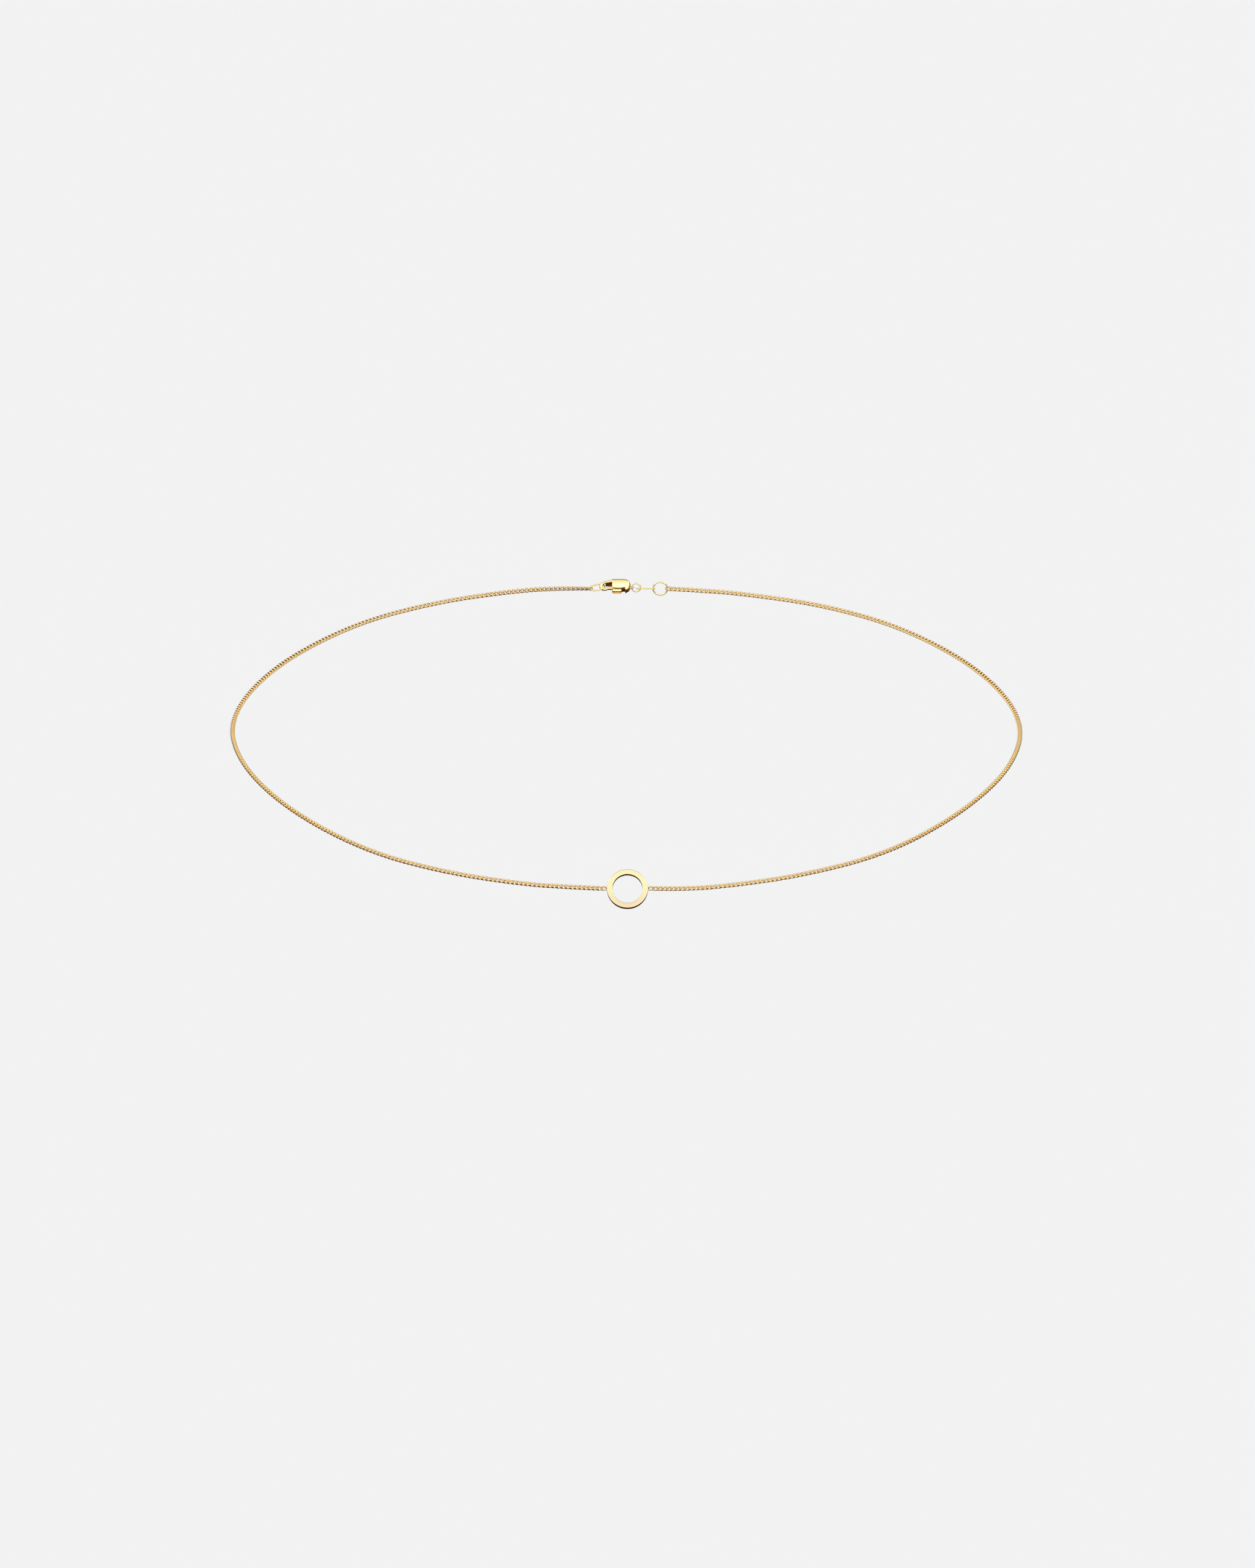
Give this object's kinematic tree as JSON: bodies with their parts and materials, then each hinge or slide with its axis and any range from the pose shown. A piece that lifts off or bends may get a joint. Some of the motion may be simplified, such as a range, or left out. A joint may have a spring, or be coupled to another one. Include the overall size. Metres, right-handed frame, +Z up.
{
  "type": "curb chain choker with open circle pendant",
  "caption": "Fine gold curb-chain choker worn as a whole loop, with an open circle pendant set in line at the front and a lobster clasp with jump rings at the back.",
  "frame": {"origin": "centre of the neck opening, in the plane of the chain", "axes": "+X to the wearer's left, along the longest extent; +Y from the pendant at the front to the clasp at the back; +Z up along the neck"},
  "size_m": [0.1497, 0.1226, 0.0058],
  "materials": {
    "pendant_gold": "mirror-polished pale yellow gold",
    "chain_gold": "bright polished yellow gold, fine curb chain",
    "ring_gold": "polished yellow gold wire",
    "clasp_gold": "polished cast yellow gold"
  },
  "bodies": {
    "necklace": {"pendant_ring": "pendant_gold", "pendant_link_left": "chain_gold", "pendant_link_right": "chain_gold", "chain_left": "chain_gold", "chain_right": "chain_gold", "end_ring": "ring_gold", "clasp_body": "clasp_gold", "clasp_pin": "clasp_gold", "clasp_ring": "ring_gold", "connector_link": "ring_gold", "big_ring": "ring_gold"},
    "trigger": {"clasp_trigger": "clasp_gold"}
  },
  "joints": [
    {"name": "trigger_pivot", "type": "hinge", "parent": "necklace", "child": "trigger", "pos_m": [-0.001, 0.05912, 0.00039], "axis": [0, -0.8763, 0.4817], "range_deg": [0, 18], "stiffness_Nm_per_rad": 0.0005, "springref_deg": -20.05}
  ]
}
